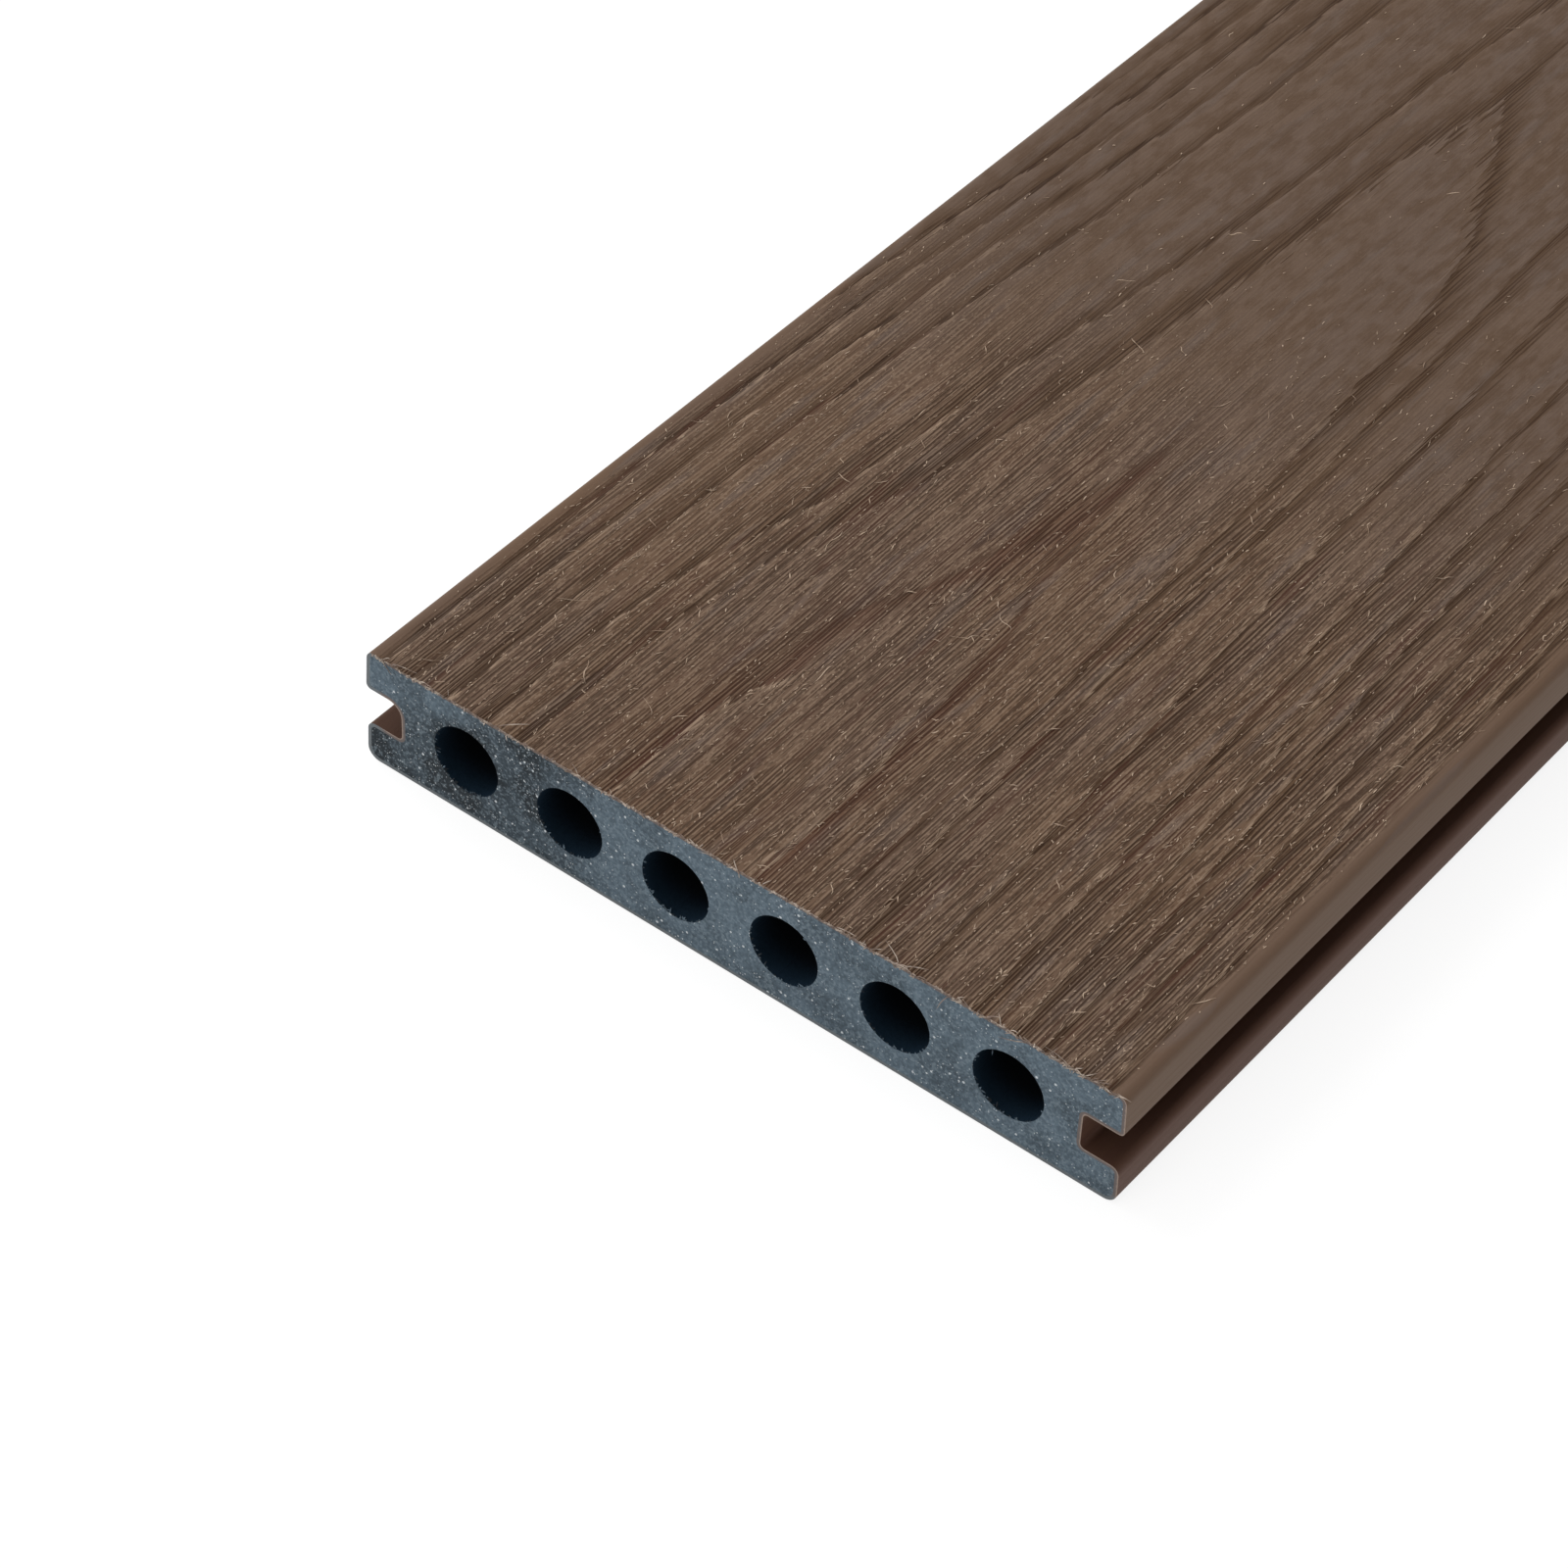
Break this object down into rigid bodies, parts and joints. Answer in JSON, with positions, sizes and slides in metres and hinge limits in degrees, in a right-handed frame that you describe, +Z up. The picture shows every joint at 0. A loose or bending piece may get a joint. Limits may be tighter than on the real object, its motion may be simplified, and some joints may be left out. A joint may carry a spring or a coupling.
{
  "type": "capped composite decking board",
  "caption": "Teak-coloured capped composite decking board with an embossed wood grain face, clip grooves along both long edges and a row of round bores through its grey core.",
  "frame": {"origin": "middle of the underside", "axes": "+X along the board, +Y across it, +Z up out of the grained face"},
  "size_m": [2.2, 0.14, 0.022],
  "materials": {
    "core": "saw-cut blue-grey wood-plastic composite with pale specks",
    "cap": "matt teak-brown cap, embossed and brushed with a cathedral wood grain"
  },
  "bodies": {
    "root": {"core": "core", "cap": "cap"}
  },
  "joints": []
}
